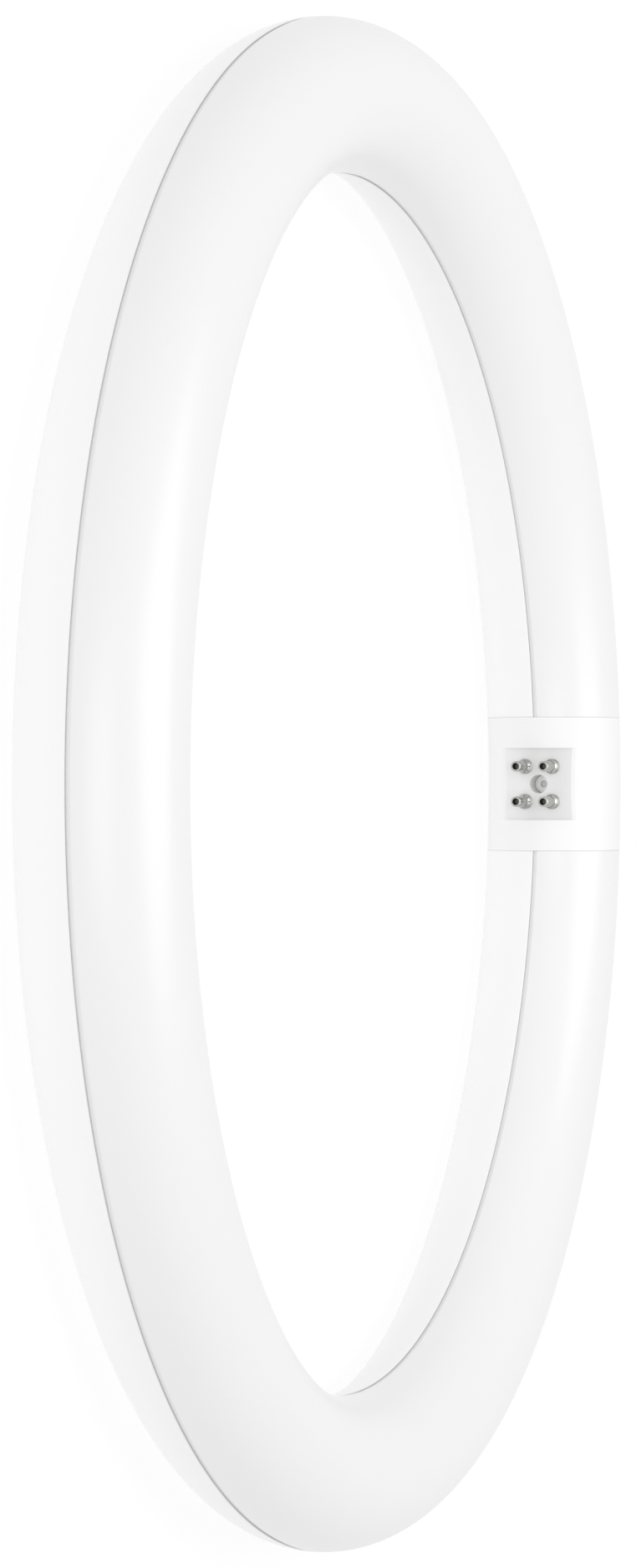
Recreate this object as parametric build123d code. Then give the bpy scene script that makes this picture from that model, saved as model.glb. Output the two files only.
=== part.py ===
from build123d import *
from math import asin, cos, degrees, radians, sin, sqrt, tan
import os

# The lamp lies flat: the ring's axis is +Z, the lit front half is up, and the base is at +X.
# The origin is under the ring's centre, on the plane that the tube rests on.

# Ring and tube
RING_OUTER_D = 300.0
TUBE_D = 30.0
REAR_WALL = 1.4
FRONT_WALL = 1.4
FIT = 0.1  # play between pieces that slot into each other

# Seam between the two half shells
SEAM_DROP = 0.4  # how far the seam lies under the tube's middle
BEVEL_HEIGHT = 1.05  # the diffuser's outer edge is bevelled over this height
BEVEL_DEPTH = 0.45
TONGUE_WALL = 1.0
TONGUE_HEEL = 2.0  # the tongue's thickened root reaches this far over the seam

# Necks at the ends of the shells, inside the base
NECK_WALL = 1.3
NECK_GAP = 0.3  # between the necks and the recess's end walls
SHOULDER_WALL = 1.4
GROOVE_WIDTH = 1.4
GROOVE_DEPTH = 0.55

# Base
BASE_LENGTH = 30.0
BASE_WALL = 2.5
BASE_SPLIT = 5.5  # the base's halves meet this far outside the tube's centre line
END_GAP = 0.12  # the fine gap between the base and each shell
LIP_WALL = 1.0
LIP_LENGTH = 2.0
RIB_WALL = 1.2

# Recess for the pins
RECESS_LENGTH = 16.2
RECESS_DEPTH = 2.3  # under the tube's inner side
RECESS_END_WALL = 1.5
RECESS_CHAMFER = 0.45  # where the floor runs out into the tube's surface
FLOOR_WALL = 2.0

# Contact pins
PIN_SPACING_ALONG = 7.92
PIN_SPACING_ACROSS = 6.35
PIN_D = 2.35
PIN_BORE_D = 1.55
PIN_HEIGHT = 7.35
PIN_BORE_DEPTH = 2.6
PIN_LIP_R = 0.18
COLLAR_REACH = 0.375  # past the pin's side
COLLAR_HEIGHT = 1.7
COLLAR_CHAMFER = 0.32
FLANGE_REACH = 0.2  # past the collar's side
FLANGE_HEIGHT = 0.3
ROOT_D = 1.9  # through the recess floor
UPSET_REACH = 0.5  # past the root's side
UPSET_HEIGHT = 0.5
TAIL_D = 1.6
TAIL_LENGTH = 3.6  # past the upset

# Screw that clamps the base's halves
SCREW_D = 2.6
SCREW_LENGTH = 12.0
SCREW_TIP = 1.2
HEAD_D = 4.0
HEAD_HEIGHT = 1.4
HEAD_SINK = 4.1  # from the recess floor to the top of the head
SOCKET_D = 1.8
SOCKET_DEPTH = 0.8
BOSS_GAP = 0.16  # between the screw's boss and the pin strips
SEAT_WALL = 1.2

# LED boards
LED_BOARDS = 4
LED_BOARD_T = 1.0
LED_BOARD_DROP = 0.6  # from the seam to the top of the boards
LED_BOARD_PLAY = 0.25
LED_BOARD_GAP = 0.3
LEDGE_OVERLAP = 1.2
LEDGE_T = 1.2
LEDS_PER_BOARD = 24
LED_LENGTH = 3.5
LED_WIDTH = 2.8
LED_HEIGHT = 0.7

# Connectors between the LED boards
LINK_LENGTH = 9.0
LINK_WIDTH = 5.0
LINK_HEIGHT = 2.2
LINK_OFFSET = -8.0  # from the tube's centre line, on the side of the ring's hole
LINK_SLOT = 1.2

# Driver board and its film
DRIVER_SETBACK = 9.3  # from the shells' shoulders to the driver board, along the tube
DRIVER_LENGTH = 129.6  # along the tube
DRIVER_T = 1.6
DRIVER_PLAY = 0.3
RAIL_OVERLAP = 1.2
RAIL_T = 1.2
FILM_T = 0.4
FILM_OVERHANG = 0.3

# Header pins from the driver to the first LED board
HEADER_INSET = 3.3  # from the driver board's far end
HEADER_PITCH = 5.08
HEADER_PIN = 0.64
HEADER_HOLE_D = 1.1
HEADER_STAND = 0.8

# Leads and strips inside the base
LEAD_D = 1.2
STRIP_T = 0.4
STRIP_WIDTH = 1.2
STRIP_OVERRUN = 0.8

# Parts on the driver board
WIRE_D = 0.6
FUSE_D = 3.2
FUSE_LENGTH = 8.5
FUSE_STAND = 2.4
FUSE_PITCH = 12.0
VARISTOR_D = 6.0
VARISTOR_T = 3.4
VARISTOR_STAND = 1.2
VARISTOR_PITCH = 4.4
FILM_CAP_LENGTH = 9.5
FILM_CAP_WIDTH = 4.5
FILM_CAP_HEIGHT = 7.0
FILM_CAP_R = 0.7
CHOKE_D = 7.6
CHOKE_HEIGHT = 6.4
CHOKE_FLANGE = 1.0
CHOKE_WAIST = 0.6
BRIDGE_LENGTH = 4.7
BRIDGE_WIDTH = 3.9
BRIDGE_HEIGHT = 1.7
BRIDGE_PITCH = 2.54
CHIP_LENGTH = 4.9
CHIP_WIDTH = 3.9
CHIP_HEIGHT = 1.5
CHIP_PITCH = 1.27
LEG_WIDTH = 0.4
LEG_REACH = 1.0
LEG_T = 0.2
LEG_RISE = 0.7
BULK_D = 7.0
BULK_LENGTH = 13.0
OUTPUT_CAP_D = 5.0
OUTPUT_CAP_LENGTH = 9.0
CRIMP_INSET = 1.6  # from the can's wire end to its crimped groove
CRIMP_WIDTH = 0.9
CRIMP_DEPTH = 0.35
CORE_LENGTH = 9.0
CORE_WIDTH = 10.0
CORE_HEIGHT = 6.6
CORE_LEG = 2.0
WINDING_WIDTH = 8.0
WINDING_HEIGHT = 4.4
BOBBIN_FLANGE = 0.8
DIODE_LENGTH = 4.3
DIODE_WIDTH = 2.6
DIODE_HEIGHT = 2.1
DIODE_TAB = 0.4

# Where each driver part's middle is: along the board from its start, and out from the tube's centre line
DRIVER_LAYOUT = {
    "fuse_resistor": (15.5, 0.0),
    "varistor": (28.0, 0.0),
    "film_capacitor": (39.1, 0.0),
    "choke": (51.4, 0.0),
    "bridge_rectifier": (61.3, -4.2),
    "driver_chip": (62.2, 4.4),
    "bulk_capacitor": (74.5, 0.0),
    "transformer": (91.0, 0.0),
    "output_diode": (102.7, -5.0),
    "output_capacitor": (111.7, 0.0),
}

ring_r = (RING_OUTER_D - TUBE_D) / 2
tube_r = TUBE_D / 2
middle_z = tube_r
seam_z = middle_z - SEAM_DROP
rear_void_r = tube_r - REAR_WALL
front_void_r = tube_r - FRONT_WALL

base_end_y = BASE_LENGTH / 2
shell_end_y = base_end_y + END_GAP
shoulder_y = shell_end_y + SHOULDER_WALL
recess_y = RECESS_LENGTH / 2
recess_wall_y = recess_y + RECESS_END_WALL
neck_end_y = recess_wall_y + NECK_GAP
groove_y = (neck_end_y + base_end_y) / 2
neck_r = tube_r - BASE_WALL - FIT
neck_bore_r = neck_r - NECK_WALL
channel_r = neck_r + FIT
split_x = ring_r + BASE_SPLIT

led_top_z = seam_z - LED_BOARD_DROP
led_under_z = led_top_z - LED_BOARD_T
film_under_z = led_under_z - FILM_T
driver_under_z = film_under_z - DRIVER_T

floor_x = ring_r - tube_r + RECESS_DEPTH
floor_back_x = floor_x + FLOOR_WALL
tail_end_x = floor_back_x + UPSET_HEIGHT + TAIL_LENGTH
strip_back_x = tail_end_x + STRIP_T
pin_y = PIN_SPACING_ALONG / 2
pin_rise = PIN_SPACING_ACROSS / 2
head_top_x = floor_x + HEAD_SINK
head_seat_x = head_top_x + HEAD_HEIGHT
boss_joint_x = head_seat_x + SEAT_WALL
counterbore_r = HEAD_D / 2 + FIT
boss_r = pin_y - STRIP_WIDTH / 2 - BOSS_GAP


def half_width(radius, z):
    """Half the width of a round section of that radius at the height z."""
    return sqrt(radius**2 - (z - middle_z) ** 2)


def turned(length):
    """The angle round the ring, in degrees, that a length along the tube's centre line takes up."""
    return degrees(length / ring_r)


led_half = half_width(rear_void_r, led_under_z) - LED_BOARD_PLAY
ledge_edge = led_half - LEDGE_OVERLAP
board_end_angle = degrees(asin((shoulder_y + LED_BOARD_PLAY) / (ring_r - led_half)))
board_pitch = (360 - 2 * board_end_angle) / LED_BOARDS
driver_half = ledge_edge - DRIVER_PLAY
rail_edge = driver_half - RAIL_OVERLAP
driver_along = ring_r * asin(shoulder_y / ring_r) + DRIVER_SETBACK
base_arc = 2 * degrees(asin(2 * shoulder_y / ring_r))

SECTION = Plane(origin=(ring_r, 0, middle_z), x_dir=(1, 0, 0), z_dir=(0, -1, 0))


def spin(section, start=0.0, arc=360.0):
    """Turns a section of the tube round the ring's axis, from start through arc, in degrees."""
    return Rot(0, 0, start) * revolve(SECTION * section, Axis.Z, arc)


def spin_at_base(section):
    """Turns a section over the stretch of the ring round the base."""
    return spin(section, -base_arc / 2, base_arc)


def block(x0, x1, y0, y1, z0, z1):
    """A box from its low to its high corner."""
    return Pos((x0 + x1) / 2, (y0 + y1) / 2, (z0 + z1) / 2) * Box(x1 - x0, y1 - y0, z1 - z0)


def slab(y0, y1):
    """Everything on the base's side of the ring from y0 to y1."""
    return block(0, RING_OUTER_D, y0, y1, -TUBE_D, 2 * TUBE_D)


def both_ends(y0, y1):
    """The two slabs from y0 to y1, at the base's two ends."""
    return slab(y0, y1) + slab(-y1, -y0)


def below_seam():
    return Pos(0, -tube_r - SEAM_DROP) * Rectangle(4 * tube_r, 2 * tube_r)


def above_seam():
    return Pos(0, tube_r - SEAM_DROP) * Rectangle(4 * tube_r, 2 * tube_r)


def mirrored(points):
    """A polygon and its mirror image on the other side of the tube's centre line."""
    outline = Polygon(*points, align=None)
    return outline + mirror(outline, Plane.YZ)


def rear_outline():
    return Circle(tube_r) & below_seam()


def front_outline():
    """The diffuser's outer form, with the bevel that leaves a shadow line at the seam."""
    top = 2 * tube_r
    edge = tube_r - BEVEL_DEPTH
    bevel_top = BEVEL_HEIGHT - SEAM_DROP
    right = [(0, -SEAM_DROP), (edge, -SEAM_DROP), (tube_r, bevel_top), (tube_r, top), (0, top)]
    return Circle(tube_r) & mirrored(right)


def ledges():
    """Two ledges along the rear housing's walls, which the LED boards rest on."""
    high = led_under_z - middle_z
    low = high - LEDGE_T
    wall = rear_void_r + REAR_WALL / 2
    shelf = mirrored([(ledge_edge, low), (wall, low), (wall, high), (ledge_edge, high)])
    return shelf & Circle(wall)


def rails():
    """Two lower rails, which carry the edges of the driver board."""
    high = driver_under_z - middle_z
    low = high - RAIL_T
    wall = rear_void_r + REAR_WALL / 2
    shelf = mirrored([(rail_edge, low), (wall, low), (wall, high), (rail_edge, high)])
    return shelf & Circle(wall)


def tongues():
    """The diffuser's tongues: they drop inside the rear housing's walls and hold the LED boards down."""
    out = half_width(rear_void_r, led_top_z) - FIT
    inside = out - TONGUE_WALL
    low = led_top_z - middle_z
    wall = front_void_r + FRONT_WALL / 3
    heel = TONGUE_HEEL - SEAM_DROP
    points = [(inside, low), (out, low), (out, -SEAM_DROP), (wall, -SEAM_DROP)]
    points += [(wall, heel + 2 * (wall - inside)), (inside, heel)]
    return mirrored(points) & Circle(wall)


def half_shell(outline, wall_r, extras, half):
    """One half of the tube, with a shoulder and a neck at each end where it enters the base."""
    tube = spin(outline - Circle(wall_r) + extras) - slab(-shoulder_y, shoulder_y)
    shoulder = spin_at_base(outline - Circle(neck_bore_r)) & both_ends(shell_end_y, shoulder_y)
    neck_section = (Circle(neck_r) - Circle(neck_bore_r)) & half
    neck = spin_at_base(neck_section) & both_ends(neck_end_y, shell_end_y)
    groove_section = Circle(neck_r + FIT) - Circle(neck_r - GROOVE_DEPTH)
    groove_span = both_ends(groove_y - GROOVE_WIDTH / 2, groove_y + GROOVE_WIDTH / 2)
    groove = spin_at_base(groove_section) & groove_span
    return tube + shoulder + (neck - groove)


def rear_housing():
    shell = half_shell(rear_outline(), rear_void_r, ledges(), below_seam())
    return shell + spin(rails(), turned(driver_along), turned(DRIVER_LENGTH))


def front_diffuser():
    return half_shell(front_outline(), front_void_r, tongues(), above_seam())


def base_form():
    """The base from outside: a stretch of the tube, cut square at both ends."""
    return spin_at_base(Circle(tube_r)) & slab(-base_end_y, base_end_y)


def along_x(x, y, z, part):
    """Puts a part that was made along +Z at a point, so that it runs along +X."""
    return Pos(x, y, z) * Rot(0, 90, 0) * part


def rod_x(x0, x1, radius, y=0.0, z=middle_z):
    """A round rod or bore along X."""
    return along_x((x0 + x1) / 2, y, z, Cylinder(radius, x1 - x0))


def pin_places():
    """Each pin's Y and Z, in pairs that share one Y."""
    return [(y, middle_z + rise) for y in (pin_y, -pin_y) for rise in (-pin_rise, pin_rise)]


def recessed_block():
    """The base's inner half before it is hollowed: a stretch of tube with the pins' flat recess across it.

    The recess is open at both edges, where its floor is chamfered towards the tube's surface."""
    form = base_form() & block(0, split_x, -base_end_y, base_end_y, 0, TUBE_D)
    inner_side = Circle(tube_r) & (Pos(-tube_r, 0) * Rectangle(2 * tube_r, 4 * tube_r))
    bed = spin_at_base(inner_side) & block(floor_x, ring_r, -base_end_y, base_end_y, 0, TUBE_D)
    floor = bed.faces().sort_by(Axis.X)[0]
    bed = chamfer(floor.edges().filter_by(lambda e: abs(e.center().Y) < recess_y), RECESS_CHAMFER)
    span = block(0, ring_r - tube_r / 2, -recess_y, recess_y, 0, TUBE_D)
    return form - (span - bed)


def base_inner_half():
    """The base's moulded inner half: sleeve walls, pin floor, pin holes and the screw's counterbore."""
    body = recessed_block()
    mouth = Pos(tube_r, 0) * Rectangle(2 * tube_r, 2 * channel_r)
    floor = block(0, floor_back_x, -recess_wall_y, recess_wall_y, 0, TUBE_D)
    body -= spin_at_base(Circle(channel_r) + mouth) - floor
    rib_section = (Circle(channel_r + FIT) - Circle(neck_r - GROOVE_DEPTH + FIT)) & (
        Pos(-tube_r, 0) * Rectangle(2 * tube_r, 2 * TUBE_D)
    )
    rib_half = GROOVE_WIDTH / 2 - FIT
    body += spin_at_base(rib_section) & both_ends(groove_y - rib_half, groove_y + rib_half)
    body += rod_x(floor_x, boss_joint_x, boss_r)
    body -= rod_x(0, head_seat_x, counterbore_r)
    body -= rod_x(head_seat_x, boss_joint_x, SCREW_D / 2 + FIT)
    for y, z in pin_places():
        body -= rod_x(floor_x - FIT, floor_back_x + FIT, ROOT_D / 2 + FIT / 2, y, z)
    return body


def base_outer_half():
    """The base's outer half: a curved lid with a lip each side and the boss that takes the screw."""
    lid = base_form() & block(split_x, RING_OUTER_D, -base_end_y, base_end_y, 0, TUBE_D)
    lid -= spin_at_base(Circle(channel_r))
    lip_y = neck_end_y - 2 * FIT
    lip_out = channel_r - FIT
    for low, high in ((-lip_out, LIP_WALL - lip_out), (lip_out - LIP_WALL, lip_out)):
        lip_top = split_x + LIP_WALL
        lid += block(split_x - LIP_LENGTH, lip_top, -lip_y, lip_y, middle_z + low, middle_z + high)
    cavity = spin_at_base(Circle(channel_r + FIT))
    roof_x = ring_r + tube_r
    rib = block(split_x, roof_x, -recess_y, recess_y, middle_z - RIB_WALL / 2, middle_z + RIB_WALL / 2)
    boss = rod_x(boss_joint_x, roof_x, boss_r)
    lid += (rib + boss) & cavity
    pilot_end_x = head_seat_x + SCREW_LENGTH + SCREW_TIP
    return lid - rod_x(boss_joint_x, pilot_end_x, SCREW_D / 2 + FIT / 10)


def contact_pin():
    """One hollow pin along +Z, with its collar on the floor at z = 0 and its solder tail below."""
    bore_r = PIN_BORE_D / 2
    shank_r = PIN_D / 2
    lip_r = min(PIN_LIP_R, 0.45 * (shank_r - bore_r))
    collar_r = shank_r + COLLAR_REACH
    chamfer_size = min(COLLAR_CHAMFER, 0.9 * COLLAR_REACH)
    flange_r = collar_r + FLANGE_REACH
    root_r = ROOT_D / 2
    upset_r = root_r + UPSET_REACH
    bore_floor = PIN_HEIGHT - PIN_BORE_DEPTH
    upset_low = -FLOOR_WALL - UPSET_HEIGHT
    tail_low = upset_low - TAIL_LENGTH
    line = Polyline(
        (0, bore_floor),
        (bore_r, bore_floor),
        (bore_r, PIN_HEIGHT),
        (shank_r, PIN_HEIGHT),
        (shank_r, COLLAR_HEIGHT),
        (collar_r - chamfer_size, COLLAR_HEIGHT),
        (collar_r, COLLAR_HEIGHT - chamfer_size),
        (collar_r, FLANGE_HEIGHT),
        (flange_r, FLANGE_HEIGHT),
        (flange_r, 0),
        (root_r, 0),
        (root_r, -FLOOR_WALL),
        (upset_r, -FLOOR_WALL),
        (upset_r, upset_low),
        (TAIL_D / 2, upset_low),
        (TAIL_D / 2, tail_low),
        (0, tail_low),
        close=True,
    )
    profile = Plane.XZ * make_face(line)
    tip = profile.vertices().filter_by(lambda v: abs(v.Z - PIN_HEIGHT) < lip_r)
    return revolve(fillet(tip, lip_r), Axis.Z)


def base_screw():
    """The screw along +Z, with the top of its head at z = 0 and a six-sided socket in it."""
    head = Pos(0, 0, HEAD_HEIGHT / 2) * Cylinder(HEAD_D / 2, HEAD_HEIGHT)
    shank_len = SCREW_LENGTH - SCREW_TIP
    shank = Pos(0, 0, HEAD_HEIGHT + shank_len / 2) * Cylinder(SCREW_D / 2, shank_len)
    tip_z = HEAD_HEIGHT + shank_len + SCREW_TIP / 2
    tip = Pos(0, 0, tip_z) * Cone(SCREW_D / 2, SCREW_D / 6, SCREW_TIP)
    socket = extrude(RegularPolygon(SOCKET_D / 2, 6), SOCKET_DEPTH)
    return head + shank + tip - socket


def arc_strip(half, low_z, high_z, start, arc):
    """A flat strip that follows the ring, half wide on each side of the tube's centre line."""
    low = low_z - middle_z
    high = high_z - middle_z
    section = Pos(0, (low + high) / 2) * Rectangle(2 * half, high - low)
    return spin(section, start, arc)


def on_ring(angle, offset, z, down=False):
    """A plane at an angle round the ring. Its x runs along the tube."""
    c, s = cos(radians(angle)), sin(radians(angle))
    radius = ring_r + offset
    normal = (0, 0, -1) if down else (0, 0, 1)
    return Plane(origin=(radius * c, radius * s, z), x_dir=(-s, c, 0), z_dir=normal)


def header_places(z):
    """The two planes that the header pins stand in, at the height z."""
    angle = turned(driver_along + DRIVER_LENGTH - HEADER_INSET)
    return [on_ring(angle, side * HEADER_PITCH / 2, z) for side in (-1, 1)]


def header_holes(low_z, high_z):
    """The two holes that the header pins pass through."""
    depth = high_z - low_z + 2 * FIT
    holes = Part()
    for place in header_places((low_z + high_z) / 2):
        holes += place * Cylinder(HEADER_HOLE_D / 2, depth)
    return holes


def led_board(number):
    """One arc of aluminium board with its row of LED packages, number counted from 0."""
    gap = turned(LED_BOARD_GAP)
    start = board_end_angle + number * board_pitch + gap / 2
    arc = board_pitch - gap
    board = arc_strip(led_half, led_under_z, led_top_z, start, arc)
    if number == 0:
        board -= header_holes(led_under_z, led_top_z)
    package = Pos(0, 0, LED_HEIGHT / 2) * Box(LED_WIDTH, LED_LENGTH, LED_HEIGHT)
    step = arc / LEDS_PER_BOARD
    places = [on_ring(start + (i + 0.5) * step, 0, led_top_z) for i in range(LEDS_PER_BOARD)]
    return board + [place * package for place in places]


def board_link(number):
    """A two-way connector across the joint after board number, with a slot for each contact."""
    joint = board_end_angle + (number + 1) * board_pitch
    body = Pos(0, 0, LINK_HEIGHT / 2) * Box(LINK_LENGTH, LINK_WIDTH, LINK_HEIGHT)
    body = chamfer(body.faces().sort_by(Axis.Z)[-1].edges(), LINK_HEIGHT / 6)
    for side in (-1, 1):
        slot = Box(LINK_LENGTH / 2, LINK_SLOT, LINK_HEIGHT)
        body -= Pos(0, side * LINK_WIDTH / 4, LINK_HEIGHT) * slot
    return on_ring(joint, LINK_OFFSET, led_top_z) * body


def driver_board():
    start = turned(driver_along)
    board = arc_strip(driver_half, driver_under_z, film_under_z, start, turned(DRIVER_LENGTH))
    return board - header_holes(driver_under_z, film_under_z)


def insulation_film():
    start = turned(driver_along - FILM_OVERHANG)
    arc = turned(DRIVER_LENGTH + 2 * FILM_OVERHANG)
    half = (driver_half + ledge_edge) / 2
    film = arc_strip(half, film_under_z, led_under_z, start, arc)
    return film - header_holes(film_under_z, led_under_z)


def output_pins():
    """The two square header pins, from under the driver board to over the LED board."""
    low = driver_under_z - HEADER_STAND
    high = led_top_z + HEADER_STAND
    pin = Box(HEADER_PIN, HEADER_PIN, high - low)
    return Compound(children=[place * pin for place in header_places((low + high) / 2)])


def pin_link(y):
    """A metal strip on the tail ends of the two pins at y."""
    half = pin_rise + STRIP_OVERRUN
    low_y = y - STRIP_WIDTH / 2
    high_y = y + STRIP_WIDTH / 2
    return block(tail_end_x, strip_back_x, low_y, high_y, middle_z - half, middle_z + half)


def tube_point(along, offset, rise):
    """A point in the tube: along it from the base's middle, out from its centre line, and over that line."""
    return on_ring(turned(along), offset, middle_z + rise).origin


def lead(points):
    """An insulated lead along straight runs joined by the largest arcs that the runs allow."""
    radii = []
    for before, at, after in zip(points, points[1:], points[2:]):
        run_in = at - before
        run_out = after - at
        turn = radians(run_in.get_angle(run_out))
        radii.append(0.45 * min(run_in.length, run_out.length) / tan(turn / 2))
    path = FilletPolyline(*points, radius=radii)
    print("lead radii", [round(r, 1) for r in radii], "length", round(path.length, 1))
    return sweep(Plane(path @ 0, z_dir=path % 0) * Circle(LEAD_D / 2), path)


def pin_leads():
    """Both leads: from a pin strip's lower end, past the screw boss, to the driver board.

    Each route overruns its two ends, where the lead is cut flush with the strip and with the board."""
    start_x = strip_back_x - LEAD_D
    start_z = middle_z - pin_rise
    up = driver_under_z - middle_z + LEAD_D
    first = [
        Vector(start_x, pin_y, start_z),
        tube_point(4.6, 1.0, -4.4),
        tube_point(14.2, 1.2, -6.6),
        tube_point(driver_along - 1.9, 0.3, -6.8),
        tube_point(driver_along + 4.4, 0.4, up),
    ]
    second = [
        Vector(start_x, -pin_y, start_z),
        tube_point(-4.7, 2.1, -5.2),
        tube_point(3.9, 4.6, -6.4),
        tube_point(13.5, 4.6, -6.6),
        tube_point(driver_along - 2.9, 4.2, -6.8),
        tube_point(driver_along + 3.5, 4.2, up),
    ]
    room = block(strip_back_x, RING_OUTER_D, -RING_OUTER_D, RING_OUTER_D, 0, driver_under_z)
    return lead(first) & room, lead(second) & room


# Driver parts, each made standing on z = 0 with its length along x


def fuse_resistor():
    wire = Pos(0, 0, FUSE_STAND) * Rot(0, 90, 0) * Cylinder(WIRE_D / 2, FUSE_PITCH + WIRE_D)
    body = Pos(0, 0, FUSE_STAND) * Rot(0, 90, 0) * Cylinder(FUSE_D / 2, FUSE_LENGTH)
    body = fillet(body.edges().filter_by(GeomType.CIRCLE), FUSE_D / 6)
    drop = Cylinder(WIRE_D / 2, FUSE_STAND)
    return body + wire + [Pos(s * FUSE_PITCH / 2, 0, FUSE_STAND / 2) * drop for s in (-1, 1)]


def varistor():
    centre = VARISTOR_STAND + VARISTOR_D / 2
    disc = Pos(0, 0, centre) * Rot(90, 0, 0) * Cylinder(VARISTOR_D / 2, VARISTOR_T)
    disc = fillet(disc.edges().filter_by(GeomType.CIRCLE), VARISTOR_T / 4)
    wire = Pos(0, 0, centre / 2) * Cylinder(WIRE_D / 2, centre)
    return disc + [Pos(s * VARISTOR_PITCH / 2, 0) * wire for s in (-1, 1)]


def film_capacitor():
    footprint = RectangleRounded(FILM_CAP_LENGTH, FILM_CAP_WIDTH, FILM_CAP_R)
    return extrude(footprint, FILM_CAP_HEIGHT)


def choke():
    flange_r = CHOKE_D / 2
    waist_r = flange_r - CHOKE_WAIST
    top = CHOKE_HEIGHT - CHOKE_FLANGE
    line = Polyline(
        (0, 0),
        (flange_r, 0),
        (flange_r, CHOKE_FLANGE),
        (waist_r, CHOKE_FLANGE),
        (waist_r, top),
        (flange_r, top),
        (flange_r, CHOKE_HEIGHT),
        (0, CHOKE_HEIGHT),
        close=True,
    )
    return revolve(Plane.XZ * make_face(line), Axis.Z)


def legged_package(length, width, height, legs, pitch):
    """A moulded package with legs gull-winged legs along each long side."""
    body = Pos(0, 0, LEG_T + height / 2) * Box(length, width, height)
    rise = LEG_RISE + LEG_T
    for side in (-1, 1):
        for i in range(legs):
            x = (i - (legs - 1) / 2) * pitch
            foot = Pos(x, side * (width / 2 + LEG_REACH / 2), LEG_T / 2)
            body += foot * Box(LEG_WIDTH, LEG_REACH, LEG_T)
            body += Pos(x, side * (width / 2 + LEG_T / 2), rise / 2) * Box(LEG_WIDTH, LEG_T, rise)
    return body


def bridge_rectifier():
    return legged_package(BRIDGE_LENGTH, BRIDGE_WIDTH, BRIDGE_HEIGHT, 2, BRIDGE_PITCH)


def driver_chip():
    return legged_package(CHIP_LENGTH, CHIP_WIDTH, CHIP_HEIGHT, 4, CHIP_PITCH)


def lying_can(diameter, length):
    """A capacitor can on its side, with the groove that crimps its seal and two bent wires."""
    can_r = diameter / 2
    crimp = length - CRIMP_INSET
    line = Polyline(
        (0, 0),
        (can_r, 0),
        (can_r, crimp - CRIMP_WIDTH / 2),
        (can_r - CRIMP_DEPTH, crimp),
        (can_r, crimp + CRIMP_WIDTH / 2),
        (can_r, length),
        (0, length),
        close=True,
    )
    can = revolve(Plane.XZ * make_face(line), Axis.Z)
    can = Pos(-length / 2, 0, can_r) * Rot(0, 90, 0) * can
    wires = []
    out = 2.5 * WIRE_D
    for side in (-1, 1):
        y = side * can_r / 2
        wires.append(Pos(length / 2 + out / 2, y, can_r) * Rot(0, 90, 0) * Cylinder(WIRE_D / 2, out))
        wires.append(Pos(length / 2 + out, y, can_r / 2) * Cylinder(WIRE_D / 2, can_r + WIRE_D))
    return (can + wires) & Pos(0, 0, diameter) * Box(4 * length, 4 * diameter, 2 * diameter)


def bulk_capacitor():
    return lying_can(BULK_D, BULK_LENGTH)


def output_capacitor():
    return lying_can(OUTPUT_CAP_D, OUTPUT_CAP_LENGTH)


def transformer():
    """A small ferrite core of two joined halves round a flanged bobbin and its winding."""
    core = Pos(0, 0, CORE_HEIGHT / 2) * Box(CORE_LENGTH, CORE_WIDTH, CORE_HEIGHT)
    window_length = CORE_LENGTH - 2 * CORE_LEG
    window = Pos(0, 0, CORE_HEIGHT / 2) * Box(window_length, 2 * CORE_WIDTH, WINDING_HEIGHT)
    core -= window
    winding = Pos(0, 0, CORE_HEIGHT / 2) * Rot(90, 0, 0) * extrude(
        RectangleRounded(window_length, WINDING_HEIGHT, window_length / 6), WINDING_WIDTH / 2, both=True
    )
    for side in (-1, 1):
        flange_y = side * (WINDING_WIDTH + BOBBIN_FLANGE) / 2
        winding += Pos(0, flange_y, CORE_HEIGHT / 2) * Box(window_length, BOBBIN_FLANGE, CORE_HEIGHT)
    return core + winding


def output_diode():
    body = Pos(0, 0, DIODE_HEIGHT / 2) * Box(DIODE_LENGTH, DIODE_WIDTH, DIODE_HEIGHT)
    tab = Box(DIODE_TAB, DIODE_WIDTH / 2, DIODE_HEIGHT / 2)
    tab_x = (DIODE_LENGTH + DIODE_TAB) / 2
    return body + [Pos(s * tab_x, 0, DIODE_HEIGHT / 4) * tab for s in (-1, 1)]


DRIVER_MAKERS = [
    fuse_resistor,
    varistor,
    film_capacitor,
    choke,
    bridge_rectifier,
    driver_chip,
    bulk_capacitor,
    transformer,
    output_diode,
    output_capacitor,
]


def all_pieces():
    """Every piece by its node name, in its place."""
    pieces = {
        "rear_housing": rear_housing(),
        "front_diffuser": front_diffuser(),
        "base_inner_half": base_inner_half(),
        "base_outer_half": base_outer_half(),
        "base_screw": along_x(head_top_x, 0, middle_z, base_screw()),
        "driver_board": driver_board(),
        "insulation_film": insulation_film(),
        "output_pins": output_pins(),
    }
    pin = contact_pin()
    for number, (y, z) in enumerate(pin_places(), 1):
        pieces[f"contact_pin_{number}"] = Pos(floor_x, y, z) * Rot(0, -90, 0) * pin
    for number in range(LED_BOARDS):
        pieces[f"led_board_{number + 1}"] = led_board(number)
    for number in range(LED_BOARDS - 1):
        pieces[f"board_link_{number + 1}"] = board_link(number)
    pieces["pin_link_1"] = pin_link(pin_y)
    pieces["pin_link_2"] = pin_link(-pin_y)
    pieces["pin_lead_1"], pieces["pin_lead_2"] = pin_leads()
    for make in DRIVER_MAKERS:
        along, offset = DRIVER_LAYOUT[make.__name__]
        place = on_ring(turned(driver_along + along), offset, driver_under_z, down=True)
        pieces[make.__name__] = place * make()
    return pieces


os.makedirs("parts", exist_ok=True)
for name, piece in all_pieces().items():
    export_step(piece, f"parts/{name}.step")
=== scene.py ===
from math import asin, atan2, cos, degrees, hypot, pi, radians, sin, sqrt

import bmesh
import bpy
from mathutils import Matrix, Vector


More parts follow.
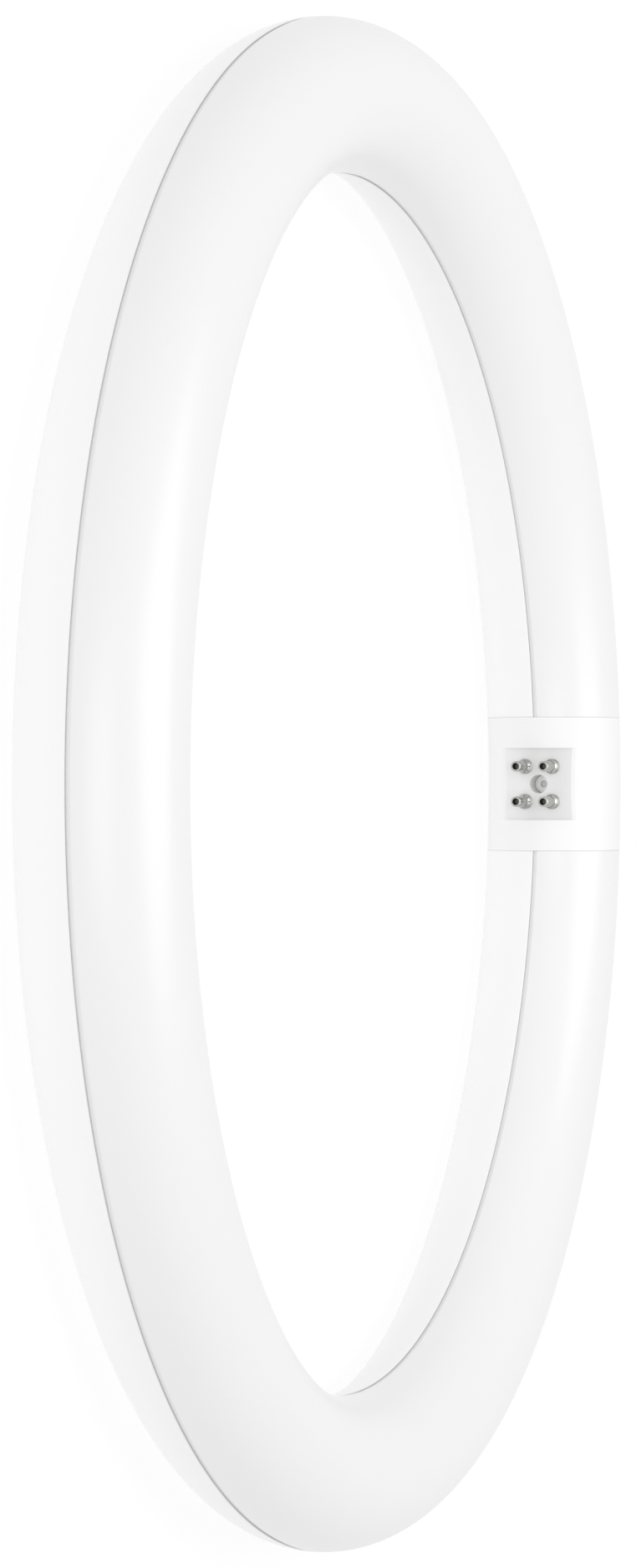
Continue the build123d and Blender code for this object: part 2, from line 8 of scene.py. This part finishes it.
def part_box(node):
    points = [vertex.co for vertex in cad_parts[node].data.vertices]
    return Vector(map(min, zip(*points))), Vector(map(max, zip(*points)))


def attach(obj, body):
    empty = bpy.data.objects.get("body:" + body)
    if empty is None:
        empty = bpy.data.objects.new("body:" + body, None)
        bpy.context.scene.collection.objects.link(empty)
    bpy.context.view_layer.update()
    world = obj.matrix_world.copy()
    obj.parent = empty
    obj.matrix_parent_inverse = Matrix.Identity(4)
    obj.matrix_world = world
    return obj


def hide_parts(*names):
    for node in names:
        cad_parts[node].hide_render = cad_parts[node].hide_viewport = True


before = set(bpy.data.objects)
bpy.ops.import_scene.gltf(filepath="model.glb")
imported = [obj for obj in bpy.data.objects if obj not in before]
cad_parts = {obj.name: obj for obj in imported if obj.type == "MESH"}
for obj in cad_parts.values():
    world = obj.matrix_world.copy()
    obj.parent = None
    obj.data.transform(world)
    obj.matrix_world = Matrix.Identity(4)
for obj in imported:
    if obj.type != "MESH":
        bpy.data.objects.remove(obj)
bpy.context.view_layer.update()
scene = bpy.context.scene
scene.view_settings.view_transform = "Standard"
mm = 0.001

# Camera
# A long lens on the side of the ring that lies opposite the base, a little over the ring's plane.
# The lamp lies flat, so the camera is turned on its side, and the ring stands upright in the picture.
camera_place = Vector((-0.7972, 0, 0.28915))
camera_target = Vector((-0.02608, 0, 0.015))
camera_data = bpy.data.cameras.new("camera")
camera_data.lens = 97.7
camera_data.sensor_width = 36
camera_data.clip_start = 0.05
camera_data.clip_end = 50
camera = bpy.data.objects.new("camera", camera_data)
look = (camera_target - camera_place).normalized()
picture_up = Vector((0, 1, 0))
picture_right = look.cross(picture_up)
turn = Matrix((picture_right, picture_up, -look)).transposed().to_4x4()
camera.matrix_world = Matrix.Translation(camera_place) @ turn
scene.collection.objects.link(camera)
scene.camera = camera

# Floor
# A white light table. The camera and reflections see it white with a light shadow of the lamp, and
# it throws soft light up at the rear of the tube.
floor_reach = 6.0
floor_mesh = bpy.data.meshes.new("floor")
bm = bmesh.new()
bmesh.ops.create_grid(bm, x_segments=1, y_segments=1, size=floor_reach)
bm.to_mesh(floor_mesh)
bm.free()
floor = bpy.data.objects.new("floor", floor_mesh)
scene.collection.objects.link(floor)


def seen_directly(tree):
    """A value that is 1 for the camera and for what metal and glass show, and 0 for soft light."""
    rays = tree.nodes.new("ShaderNodeLightPath")
    value = rays.outputs["Is Camera Ray"]
    for kind in ("Is Glossy Ray", "Is Transmission Ray"):
        either = tree.nodes.new("ShaderNodeMath")
        either.operation = "MAXIMUM"
        tree.links.new(value, either.inputs[0])
        tree.links.new(rays.outputs[kind], either.inputs[1])
        value = either.outputs[0]
    return value


def mixed(tree, part, first, second):
    """A mix of two shaders, where the part is a number or a value of the tree."""
    mix = tree.nodes.new("ShaderNodeMixShader")
    if isinstance(part, float):
        mix.inputs["Fac"].default_value = part
    else:
        tree.links.new(part, mix.inputs["Fac"])
    tree.links.new(first, mix.inputs[1])
    tree.links.new(second, mix.inputs[2])
    return mix.outputs[0]


floor_glow = 1.05
shadow_part = 0.2
bounce_part = 0.25
light_table = bpy.data.materials.new("light_table")
light_table.use_nodes = True
tree = light_table.node_tree
tree.nodes.clear()
sheet = tree.nodes.new("ShaderNodeBsdfDiffuse")
sheet.inputs["Color"].default_value = (0.85, 0.85, 0.85, 1)
glow = tree.nodes.new("ShaderNodeEmission")
glow.inputs["Strength"].default_value = floor_glow
bounce = mixed(tree, bounce_part, glow.outputs[0], sheet.outputs[0])
shown = mixed(tree, shadow_part, glow.outputs[0], sheet.outputs[0])
end = tree.nodes.new("ShaderNodeOutputMaterial")
tree.links.new(mixed(tree, seen_directly(tree), bounce, shown), end.inputs["Surface"])
floor_mesh.materials.append(light_table)

# Room and lamps
# An even white room, one broad softbox over the lamp and one on the camera's side. Both are weak,
# so that the white plastics keep their own tones.
room_strength = 0.64
room = bpy.data.worlds.new("room")
scene.world = room
room.use_nodes = True
tree = room.node_tree
tree.nodes.clear()
walls = []
for strength in (room_strength, 1.0):
    wall = tree.nodes.new("ShaderNodeBackground")
    wall.inputs["Color"].default_value = (1, 1, 1, 1)
    wall.inputs["Strength"].default_value = strength
    walls.append(wall.outputs[0])
end = tree.nodes.new("ShaderNodeOutputWorld")
tree.links.new(mixed(tree, seen_directly(tree), *walls), end.inputs["Surface"])


def softbox(name, place, width, power):
    """A square area lamp that faces the middle of the ring."""
    data = bpy.data.lights.new(name, "AREA")
    data.shape = "SQUARE"
    data.size = width
    data.energy = power
    lamp = bpy.data.objects.new(name, data)
    lamp.location = place
    lamp.rotation_mode = "QUATERNION"
    lamp.rotation_quaternion = (-Vector(place)).to_track_quat("-Z", "Y")
    scene.collection.objects.link(lamp)


softbox("softbox_above", (-0.05, 0.1, 0.9), width=0.7, power=3.2)
softbox("softbox_camera_side", (-2.8, 0, 1.0), width=1.6, power=15.0)

# Rear housing
# The rear half of the tube, injection-moulded in white plastic. A ledge inside each wall carries
# the LED boards, and its rim meets the front half in a seam just under the tube's middle.
tube_r = 15.0 * mm
ring_r = 135.0 * mm
middle_z = tube_r
tube_wall = 1.4 * mm
void_r = tube_r - tube_wall
seam_drop = 0.4 * mm
rim_rounding = 0.12 * mm
ledge_drop = 2.0 * mm
ledge_thickness = 1.2 * mm
ledge_edge = 12.0 * mm
tube_end_y = 15.03 * mm
end_rounding = 0.12 * mm
ring_steps = 240
outside_steps = 64
inside_steps = 16
same_place = 0.001 * mm
same_level = 0.01 * mm
near_surface = 0.06 * mm


def corner(bm, last, offset, rise):
    """The section's next corner, out from the tube's centre line and over its middle."""
    new = bm.verts.new((ring_r + offset, 0, middle_z + rise))
    if last:
        bm.edges.new((last, new))
    return new


def bow(bm, last, radius, start, end, steps):
    """An arc of the section from start to end in degrees, where 0 points out of the ring."""
    first = corner(bm, last, radius * cos(radians(start)), radius * sin(radians(start)))
    arc = bmesh.ops.spin(
        bm, geom=[first], cent=(ring_r, 0, middle_z), axis=(0, -1, 0), dvec=(0, 0, 0),
        angle=radians(end - start), steps=steps, use_duplicate=False,
    )
    return [v for v in arc["geom_last"] if isinstance(v, bmesh.types.BMVert)][0]


def angle_at(rise, radius):
    """The angle in degrees at which a circle round the tube's centre line reaches a height."""
    return degrees(asin(rise / radius))


def half_width(rise, radius):
    """How far a circle round the tube's centre line reaches to each side at a height."""
    return sqrt(radius**2 - rise**2)


def from_centre_line(place):
    """The distance of a point from the tube's centre line."""
    return hypot(hypot(place.x, place.y) - ring_r, place.z - middle_z)


def on_tube(edge):
    """Whether an edge lies on the tube's round outside."""
    return all(abs(from_centre_line(v.co) - tube_r) < near_surface for v in edge.verts)


def round_off(bm, edges, width, segments=2):
    """Rounds edges to the given width."""
    bmesh.ops.bevel(
        bm, geom=edges, offset=width, offset_type="OFFSET", affect="EDGES", segments=segments,
        profile=0.5, material=-1, clamp_overlap=True,
    )


def turned_shell(bm):
    """Turns a section round the ring, cuts it square beside the base and closes and rounds both ends."""
    bm.edges.new((bm.verts[:][0], bm.verts[:][-1]))
    bmesh.ops.spin(
        bm, geom=bm.verts[:] + bm.edges[:], cent=(0, 0, 0), axis=(0, 0, 1), dvec=(0, 0, 0),
        angle=2 * pi, steps=ring_steps, use_merge=True, use_duplicate=False,
    )
    bmesh.ops.remove_doubles(bm, verts=bm.verts, dist=same_place)
    for side in (-1, 1):
        near = [f for f in bm.faces if f.calc_center_median().x > 0]
        geom = near + list({e for f in near for e in f.edges}) + list({v for f in near for v in f.verts})
        bmesh.ops.bisect_plane(
            bm, geom=geom, dist=same_place / 10, plane_co=(0, side * tube_end_y, 0), plane_no=(0, side, 0),
        )
    middles = [(f, f.calc_center_median()) for f in bm.faces]
    gap = [f for f, middle in middles if middle.x > 0 and abs(middle.y) < tube_end_y]
    bmesh.ops.delete(bm, geom=gap, context="FACES")
    bmesh.ops.holes_fill(bm, edges=[e for e in bm.edges if e.is_boundary], sides=0)
    bmesh.ops.recalc_face_normals(bm, faces=bm.faces)
    rims = [
        e for e in bm.edges
        if on_tube(e) and all(abs(abs(v.co.y) - tube_end_y) < same_place for v in e.verts)
    ]
    round_off(bm, rims, end_rounding)


def finished(bm, name, paints, sharp=30):
    """Makes a mesh an object that rides with the lamp and takes its finish from a slot."""
    mesh = bpy.data.meshes.new(name)
    for f in bm.faces:
        f.smooth = True
    bm.to_mesh(mesh)
    bm.free()
    if "custom_normal" in mesh.attributes:
        mesh.attributes.remove(mesh.attributes["custom_normal"])
    mesh.set_sharp_from_angle(angle=radians(sharp))
    for paint in paints:
        mesh.materials.append(paint)
    piece = bpy.data.objects.new(name, mesh)
    scene.collection.objects.link(piece)
    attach(piece, "root")
    return piece


def finish(name, colour, roughness, metallic=0.0, spread=0.006, patch=30 * mm, grain=1.2 * mm):
    """A finish whose tone and gloss vary softly from patch to patch, over a fine grain."""
    paint = bpy.data.materials.new(name)
    paint.use_nodes = True
    tree = paint.node_tree
    shader = tree.nodes["Principled BSDF"]
    shader.inputs["Metallic"].default_value = metallic
    shader.inputs["IOR"].default_value = 1.49
    place = tree.nodes.new("ShaderNodeTexCoord")
    clouds = tree.nodes.new("ShaderNodeTexNoise")
    clouds.inputs["Scale"].default_value = 1 / patch
    clouds.inputs["Detail"].default_value = 2
    tree.links.new(place.outputs["Object"], clouds.inputs["Vector"])
    tone = tree.nodes.new("ShaderNodeValToRGB")
    tone.color_ramp.elements[0].position = 0.3
    tone.color_ramp.elements[0].color = [(1 - spread) * c for c in colour] + [1]
    tone.color_ramp.elements[1].position = 0.7
    tone.color_ramp.elements[1].color = list(colour) + [1]
    tree.links.new(clouds.outputs["Fac"], tone.inputs["Fac"])
    tree.links.new(tone.outputs["Color"], shader.inputs["Base Color"])
    gloss = tree.nodes.new("ShaderNodeMapRange")
    gloss.inputs["To Min"].default_value = 0.92 * roughness
    gloss.inputs["To Max"].default_value = 1.08 * roughness
    tree.links.new(clouds.outputs["Fac"], gloss.inputs["Value"])
    tree.links.new(gloss.outputs["Result"], shader.inputs["Roughness"])
    grains = tree.nodes.new("ShaderNodeTexNoise")
    grains.inputs["Scale"].default_value = 1 / grain
    grains.inputs["Detail"].default_value = 1
    tree.links.new(place.outputs["Object"], grains.inputs["Vector"])
    bump = tree.nodes.new("ShaderNodeBump")
    bump.inputs["Strength"].default_value = 0.3
    bump.inputs["Distance"].default_value = 0.003 * mm
    tree.links.new(grains.outputs["Fac"], bump.inputs["Height"])
    tree.links.new(bump.outputs["Normal"], shader.inputs["Normal"])
    return paint


housing_white = finish("housing_white", (0.93, 0.93, 0.93), 0.3)
# The rim's flat top gets this darker grey, as painted shade in the seam's gap.
rim_shade = finish("rim_shade", (0.66, 0.66, 0.66), 0.7)
seam_half = half_width(seam_drop, tube_r)
rim_half = seam_half - rim_rounding
bm = bmesh.new()
rim_angle = angle_at(seam_drop + rim_rounding, tube_r)
last = bow(bm, None, tube_r, -rim_angle, rim_angle - 180, outside_steps)
last = corner(bm, last, -rim_half, -seam_drop)
last = corner(bm, last, -half_width(seam_drop, void_r), -seam_drop)
last = corner(bm, last, -half_width(ledge_drop, void_r), -ledge_drop)
last = corner(bm, last, -ledge_edge, -ledge_drop)
last = corner(bm, last, -ledge_edge, -ledge_drop - ledge_thickness)
under_ledge = angle_at(ledge_drop + ledge_thickness, void_r)
last = bow(bm, last, void_r, under_ledge - 180, -under_ledge, inside_steps)
last = corner(bm, last, ledge_edge, -ledge_drop - ledge_thickness)
last = corner(bm, last, ledge_edge, -ledge_drop)
last = corner(bm, last, half_width(ledge_drop, void_r), -ledge_drop)
last = corner(bm, last, half_width(seam_drop, void_r), -seam_drop)
last = corner(bm, last, rim_half, -seam_drop)
turned_shell(bm)
# The rim's flat top is painted darker grey, as painted shade in the seam's gap.
for f in bm.faces:
    if abs(f.calc_center_median().z - middle_z + seam_drop) < same_level:
        f.material_index = 1
rear_shell = finished(bm, "rear_shell", [housing_white, rim_shade])
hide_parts("rear_housing")

# Front diffuser
# The lit front half of the tube, moulded in opal plastic. Its outer edge is bevelled at the seam,
# which leaves a shadow line, and the matt bevel is painted darker grey as painted shade. Its tongues
# drop into the housing and hold the LED boards down.
bevel_height = 1.05 * mm
bevel_depth = 0.45 * mm
tongue_wall = 1.0 * mm
tongue_play = 0.1 * mm
board_drop = 1.0 * mm
tongue_heel = 1.6 * mm
tongue_out = half_width(board_drop, void_r) - tongue_play
tongue_in = tongue_out - tongue_wall
opal_white = finish("opal_white", (0.865, 0.865, 0.865), 0.3)
# The bevel's darker grey is painted shade along the seam.
painted_bevel_shade = finish("painted_bevel_shade", (0.8, 0.8, 0.8), 0.6)
bm = bmesh.new()
bevel_angle = angle_at(bevel_height - seam_drop, tube_r)
last = bow(bm, None, tube_r, 180 - bevel_angle, bevel_angle, outside_steps)
last = corner(bm, last, tube_r - bevel_depth, -seam_drop)
last = corner(bm, last, tongue_out, -seam_drop)
last = corner(bm, last, tongue_out, -board_drop)
last = corner(bm, last, tongue_in, -board_drop)
last = corner(bm, last, tongue_in, tongue_heel)
heel_angle = angle_at(tongue_heel + tongue_wall, void_r)
last = bow(bm, last, void_r, heel_angle, 180 - heel_angle, inside_steps)
last = corner(bm, last, -tongue_in, tongue_heel)
last = corner(bm, last, -tongue_in, -board_drop)
last = corner(bm, last, -tongue_out, -board_drop)
last = corner(bm, last, -tongue_out, -seam_drop)
last = corner(bm, last, bevel_depth - tube_r, -seam_drop)
turned_shell(bm)
# The bevel's faces take the darker matt paint, as painted shade along the seam.
for f in bm.faces:
    middle = f.calc_center_median()
    in_bevel = tube_r - bevel_depth < from_centre_line(middle) < tube_r - near_surface
    if in_bevel and middle.z < middle_z + bevel_height:
        f.material_index = 1
front_shell = finished(bm, "front_shell", [opal_white, painted_bevel_shade], sharp=15)
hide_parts("front_diffuser")

# Base
# The moulded white sleeve that joins the ring's two ends, in an inner and an outer half. Both are the
# CAD's meshes with their outer rims rounded. The inner half has the flat recess for the lampholder,
# left matt by the mould, and its floor is painted a little darker as painted shade.
base_end_y = 15.0 * mm
split_x = 140.5 * mm
floor_x = 122.3 * mm
recess_y = 8.1 * mm
base_rounding = 0.1 * mm
base_white = finish("base_white", (0.9, 0.9, 0.9), 0.46)
# The recess floor's darker grey is painted shade.
recess_painted_shade = finish("recess_painted_shade", (0.865, 0.865, 0.865), 0.55, grain=0.4 * mm)
for node_name, piece_name in (("base_inner_half", "base_recess_half"), ("base_outer_half", "base_back_half")):
    bm = bmesh.new()
    bm.from_mesh(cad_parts[node_name].data)
    bmesh.ops.remove_doubles(bm, verts=bm.verts, dist=same_place / 2)
    outer = [e for e in bm.edges if on_tube(e)]
    rims = [
        e for e in outer
        if all(abs(abs(v.co.y) - base_end_y) < same_place for v in e.verts)
        or all(abs(v.co.x - split_x) < same_place for v in e.verts)
    ]
    round_off(bm, rims, base_rounding)
    for f in bm.faces:
        middle = f.calc_center_median()
        # The recess floor takes the darker paint, as painted shade in the recess.
        if abs(middle.x - floor_x) < same_level and abs(middle.y) < recess_y:
            f.material_index = 1
    base_half = finished(bm, piece_name, [base_white, recess_painted_shade], sharp=12)
    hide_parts(node_name)

# Contact pins
# Four hollow pins turned from brass and plated with nickel. Each stands on a collar and is riveted
# through the recess floor, and its bore is painted near black down to the solder inside, as painted
# shade.
floor_wall = 2.0 * mm
pin_pitch_y = 7.92 * mm
pin_pitch_z = 6.35 * mm
pin_steps = 48
pin_bore_r = 0.775 * mm
pin_r = 1.175 * mm
pin_tip = 7.35 * mm
solder_top = 4.75 * mm
lip_rounding = 0.18 * mm
collar_r = 1.55 * mm
collar_top = 1.7 * mm
collar_chamfer = 0.32 * mm
flange_r = 1.75 * mm
flange_top = 0.3 * mm
root_r = 0.95 * mm
upset_r = 1.45 * mm
upset_height = 0.5 * mm
tail_r = 0.8 * mm
tail_length = 3.6 * mm
upset_end = -floor_wall - upset_height
tail_end = upset_end - tail_length
pin_profile = (
    (solder_top, 0), (solder_top, pin_bore_r), (pin_tip, pin_bore_r), (pin_tip, pin_r), (collar_top, pin_r),
    (collar_top, collar_r - collar_chamfer), (collar_top - collar_chamfer, collar_r), (flange_top, collar_r),
    (flange_top, flange_r), (0, flange_r), (0, root_r), (-floor_wall, root_r), (-floor_wall, upset_r),
    (upset_end, upset_r), (upset_end, tail_r), (tail_end, tail_r), (tail_end, 0),
)
nickel = finish("nickel_plate", (0.495, 0.495, 0.475), 0.24, metallic=1.0, spread=0.1, patch=2.5 * mm)
# The bores' near black is painted shade.
bore_shade = finish("bore_shade", (0.09, 0.09, 0.085), 0.5, metallic=1.0, spread=0.3, patch=0.6 * mm)
solder = finish("solder", (0.34, 0.34, 0.33), 0.45, metallic=1.0, spread=0.4, patch=0.7 * mm, grain=0.3 * mm)


def turning_marks(paint, kind, pitch, depth, centre=(0, 0, 0)):
    """Adds the fine marks of a lathe, as bands or rings round an axis along X."""
    tree = paint.node_tree
    shader = tree.nodes["Principled BSDF"]
    place = tree.nodes.new("ShaderNodeTexCoord")
    centred = tree.nodes.new("ShaderNodeMapping")
    centred.vector_type = "TEXTURE"
    centred.inputs["Location"].default_value = centre
    tree.links.new(place.outputs["Object"], centred.inputs["Vector"])
    waves_per_unit = 20 / (2 * pi)
    marks = tree.nodes.new("ShaderNodeTexWave")
    marks.wave_type = kind
    marks.bands_direction = "X"
    marks.rings_direction = "X"
    marks.inputs["Scale"].default_value = 1 / (waves_per_unit * pitch)
    marks.inputs["Distortion"].default_value = 0.6
    tree.links.new(centred.outputs["Vector"], marks.inputs["Vector"])
    bump = tree.nodes.new("ShaderNodeBump")
    bump.inputs["Strength"].default_value = 0.5
    bump.inputs["Distance"].default_value = depth
    tree.links.new(marks.outputs["Fac"], bump.inputs["Height"])
    tree.links.new(shader.inputs["Normal"].links[0].from_socket, bump.inputs["Normal"])
    tree.links.new(bump.outputs["Normal"], shader.inputs["Normal"])


turning_marks(nickel, "BANDS", pitch=0.16 * mm, depth=0.003 * mm)


def contact_pin(number, pin_y, pin_z):
    """One pin, whose profile is turned round its own axis and then rounded at the tip."""
    bm = bmesh.new()
    last = None
    for height, radius in pin_profile:
        new = bm.verts.new((floor_x - height, pin_y, pin_z + radius))
        if last:
            bm.edges.new((last, new))
        last = new
    bmesh.ops.spin(
        bm, geom=bm.verts[:] + bm.edges[:], cent=(floor_x, pin_y, pin_z), axis=(1, 0, 0), dvec=(0, 0, 0),
        angle=2 * pi, steps=pin_steps, use_merge=True, use_duplicate=False,
    )
    bmesh.ops.remove_doubles(bm, verts=bm.verts, dist=same_place)
    bmesh.ops.recalc_face_normals(bm, faces=bm.faces)

    def radius_of(place):
        """The distance of a point from the pin's own axis."""
        return hypot(place.y - pin_y, place.z - pin_z)

    # The bore's wall is painted near black, as painted shade; its floor is the solder.
    for f in bm.faces:
        middle = f.calc_center_median()
        if radius_of(middle) < pin_bore_r and middle.x < floor_x - solder_top + same_level:
            f.material_index = 2 if abs(middle.x - floor_x + solder_top) < same_level else 1
    tip_x = floor_x - pin_tip
    tip_edges = [e for e in bm.edges if all(abs(v.co.x - tip_x) < same_place for v in e.verts)]
    lip = [e for e in tip_edges if all(radius_of(v.co) > pin_r - same_place for v in e.verts)]
    round_off(bm, lip, lip_rounding, segments=3)
    pin = finished(bm, f"turned_pin_{number}", [nickel, bore_shade, solder])
    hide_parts(f"contact_pin_{number}")


number = 0
for side_y in (1, -1):
    for side_z in (-1, 1):
        number += 1
        contact_pin(number, side_y * pin_pitch_y / 2, middle_z + side_z * pin_pitch_z / 2)

# Screw
# A zinc-plated steel screw with a six-sided socket, sunk between the pins. It clamps the base's two
# halves on the tube's ends. The plating keeps its grey on the head's face, and all deeper in, the
# socket too, is painted darker as painted shade.


def dress(node_name, paint):
    """Gives a carried node its finish."""
    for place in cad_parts[node_name].material_slots:
        place.material = paint


def patterned(paint, pattern):
    """Lays a pattern's colours over a white finish, which keeps its soft changes of tone."""
    tree = paint.node_tree
    colour = tree.nodes["Principled BSDF"].inputs["Base Color"]
    both = tree.nodes.new("ShaderNodeMixRGB")
    both.blend_type = "MULTIPLY"
    both.inputs["Fac"].default_value = 1
    tree.links.new(colour.links[0].from_socket, both.inputs["Color1"])
    tree.links.new(pattern, both.inputs["Color2"])
    tree.links.new(both.outputs["Color"], colour)


def banded(paint, node_name, axis, span, bands):
    """Paints bands on a piece, centred on it: across the tube (X), along it (Y) or by height (Z).

    Each band has its start, as a part of the span, and its colour.
    """
    tree = paint.node_tree
    low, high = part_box(node_name)
    middle = (low + high) / 2
    place = tree.nodes.new("ShaderNodeTexCoord")
    centred = tree.nodes.new("ShaderNodeMapping")
    centred.vector_type = "TEXTURE"
    centred.inputs["Location"].default_value = middle
    centred.inputs["Rotation"].default_value = (0, 0, atan2(middle.y, middle.x))
    tree.links.new(place.outputs["Object"], centred.inputs["Vector"])
    parts = tree.nodes.new("ShaderNodeSeparateXYZ")
    tree.links.new(centred.outputs["Vector"], parts.inputs["Vector"])
    share = tree.nodes.new("ShaderNodeMapRange")
    share.inputs["From Min"].default_value = -span / 2
    share.inputs["From Max"].default_value = span / 2
    tree.links.new(parts.outputs[axis], share.inputs["Value"])
    ramp = tree.nodes.new("ShaderNodeValToRGB")
    ramp.color_ramp.interpolation = "CONSTANT"
    stops = ramp.color_ramp.elements
    stops.remove(stops[1])
    for number, (start, colour) in enumerate(bands):
        stop = stops[0] if number == 0 else stops.new(start)
        stop.position = start
        stop.color = list(colour) + [1]
    tree.links.new(share.outputs["Result"], ramp.inputs["Fac"])
    patterned(paint, ramp.outputs["Color"])


screw_length = 13.4 * mm
face_depth = 0.1 * mm
white = (1, 1, 1)
zinc_grey = (0.8, 0.8, 0.79)
# The darker grey below the head's face is painted shade, in the socket above all.
painted_shade_zinc = (0.58, 0.58, 0.57)
zinc = finish("zinc_plate", white, 0.38, metallic=1.0, spread=0.06, patch=2 * mm)
zinc_bands = ((0, zinc_grey), (face_depth / screw_length, painted_shade_zinc))
banded(zinc, "base_screw", "X", screw_length, zinc_bands)
turning_marks(zinc, "RINGS", pitch=0.2 * mm, depth=0.0015 * mm, centre=(0, 0, middle_z))
dress("base_screw", zinc)

# LED boards
# Four aluminium boards under white lacquer, each with a row of LED packages whose tops are yellow
# phosphor. Moulded connectors bridge their ends.
package_height = 0.7 * mm
board_height = ledge_drop - board_drop + package_height
bare_part = 0.05
phosphor_start = 0.97
phosphor = (0.93, 0.72, 0.2)
lacquer = (0.9, 0.9, 0.88)
bare_aluminium = (0.62, 0.63, 0.64)
board_finish = finish("led_board_lacquer", white, 0.4)
board_bands = ((0, bare_aluminium), (bare_part, lacquer), (phosphor_start, phosphor))
banded(board_finish, "led_board_1", "Z", board_height, board_bands)
for number in range(1, 5):
    dress(f"led_board_{number}", board_finish)
link_plastic = finish("link_plastic", (0.88, 0.87, 0.83), 0.45)
for number in range(1, 4):
    dress(f"board_link_{number}", link_plastic)

# Driver
# A circuit board under the first LED board, its copper fields covered by a green mask, with an
# insulating film over it, and two tinned header pins that carry the LEDs' current up through it.
field_width = 9 * mm
gap_part = 0.035
mask_green = (0.05, 0.25, 0.12)
gap_green = (0.02, 0.12, 0.06)
driver_mask = finish("driver_mask", white, 0.35, spread=0.1)
tree = driver_mask.node_tree
place = tree.nodes.new("ShaderNodeTexCoord")
copper_fields = tree.nodes.new("ShaderNodeTexVoronoi")
copper_fields.feature = "DISTANCE_TO_EDGE"
copper_fields.inputs["Scale"].default_value = 1 / field_width
copper_fields.inputs["Randomness"].default_value = 0.6
tree.links.new(place.outputs["Object"], copper_fields.inputs["Vector"])
gaps = tree.nodes.new("ShaderNodeValToRGB")
gaps.color_ramp.interpolation = "CONSTANT"
gaps.color_ramp.elements[0].color = (*gap_green, 1)
gaps.color_ramp.elements[1].position = gap_part
gaps.color_ramp.elements[1].color = (*mask_green, 1)
tree.links.new(copper_fields.outputs["Distance"], gaps.inputs["Fac"])
patterned(driver_mask, gaps.outputs["Color"])
dress("driver_board", driver_mask)
dress("insulation_film", finish("film_amber", (0.85, 0.8, 0.62), 0.3, spread=0.04))
tinned = finish("tinned", (0.72, 0.7, 0.64), 0.35, metallic=1.0, spread=0.1, patch=2 * mm)
dress("output_pins", tinned)

# Driver parts
# What turns the mains into the LEDs' current: a banded fuse resistor, a dipped varistor, a boxed film
# capacitor, two wound ferrites, three moulded packages and two sleeved electrolytic capacitors.
tin = (0.6, 0.59, 0.56)
black = (0.03, 0.03, 0.03)
resistor_with_wires = 12.6 * mm
resistor_green = (0.3, 0.48, 0.4)
brown = (0.16, 0.06, 0.03)
gold = (0.6, 0.42, 0.12)
resistor_finish = finish("resistor_coat", white, 0.45)
resistor_bands = (
    (0, tin), (0.165, resistor_green), (0.26, brown), (0.32, resistor_green), (0.38, black),
    (0.44, resistor_green), (0.5, black), (0.56, resistor_green), (0.68, gold), (0.74, resistor_green),
    (0.835, tin),
)
banded(resistor_finish, "fuse_resistor", "Y", resistor_with_wires, resistor_bands)
dress("fuse_resistor", resistor_finish)

varistor_d = 6.0 * mm
varistor_stand = 1.2 * mm
varistor_height = varistor_d + varistor_stand
varistor_blue = (0.06, 0.17, 0.42)
varistor_finish = finish("varistor_coat", white, 0.25, spread=0.1, patch=3 * mm)
varistor_bands = ((0, varistor_blue), (varistor_d / varistor_height, tin))
banded(varistor_finish, "varistor", "Z", varistor_height, varistor_bands)
dress("varistor", varistor_finish)

capacitor_box = finish("capacitor_box", (0.75, 0.58, 0.1), 0.4, spread=0.05, patch=5 * mm)
dress("film_capacitor", capacitor_box)

choke_height = 6.4 * mm
choke_flange = 1.0 * mm
flange_part = choke_flange / choke_height
ferrite_black = (0.06, 0.055, 0.055)
copper = (0.5, 0.2, 0.09)
choke_finish = finish("choke_ferrite_and_wire", white, 0.5, spread=0.2, patch=2 * mm)
choke_bands = ((0, ferrite_black), (flange_part, copper), (1 - flange_part, ferrite_black))
banded(choke_finish, "choke", "Z", choke_height, choke_bands)
dress("choke", choke_finish)

core_length = 9.0 * mm
core_leg = 2.0 * mm
leg_share = core_leg / core_length
tape_yellow = (0.8, 0.6, 0.08)
core_finish = finish("transformer_core_and_tape", white, 0.5, spread=0.1, patch=2 * mm)
core_bands = ((0, ferrite_black), (leg_share, tape_yellow), (1 - leg_share, ferrite_black))
banded(core_finish, "transformer", "Y", core_length, core_bands)
dress("transformer", core_finish)

package_width = 3.9 * mm
leg_reach = 1.0 * mm
width_over_legs = package_width + 2 * leg_reach
leg_part = leg_reach / width_over_legs
package_bands = ((0, tin), (leg_part, black), (1 - leg_part, tin))
for name in ("bridge_rectifier", "driver_chip"):
    package = finish(f"{name}_package", white, 0.5, spread=0.2, patch=1 * mm)
    banded(package, name, "X", width_over_legs, package_bands)
    dress(name, package)
diode_package = finish("diode_package", (0.04, 0.04, 0.04), 0.5, spread=0.2, patch=1 * mm)
dress("output_diode", diode_package)

bulk_d = 7.0 * mm
output_d = 5.0 * mm
stripe_grey = (0.55, 0.56, 0.58)
stripe_bands = ((0, black), (0.42, stripe_grey), (0.58, black))
for name, diameter in (("bulk_capacitor", bulk_d), ("output_capacitor", output_d)):
    sleeve = finish(f"{name}_sleeve", white, 0.28)
    banded(sleeve, name, "Z", diameter, stripe_bands)
    dress(name, sleeve)

# Wiring
# Two tinned strips join the pins in pairs behind the recess floor, and two insulated leads run from
# them to the driver board. None of it shows when the lamp is closed.
insulation = finish("lead_insulation", (0.88, 0.88, 0.86), 0.5, spread=0.03)
for number in (1, 2):
    dress(f"pin_link_{number}", tinned)
    dress(f"pin_lead_{number}", insulation)
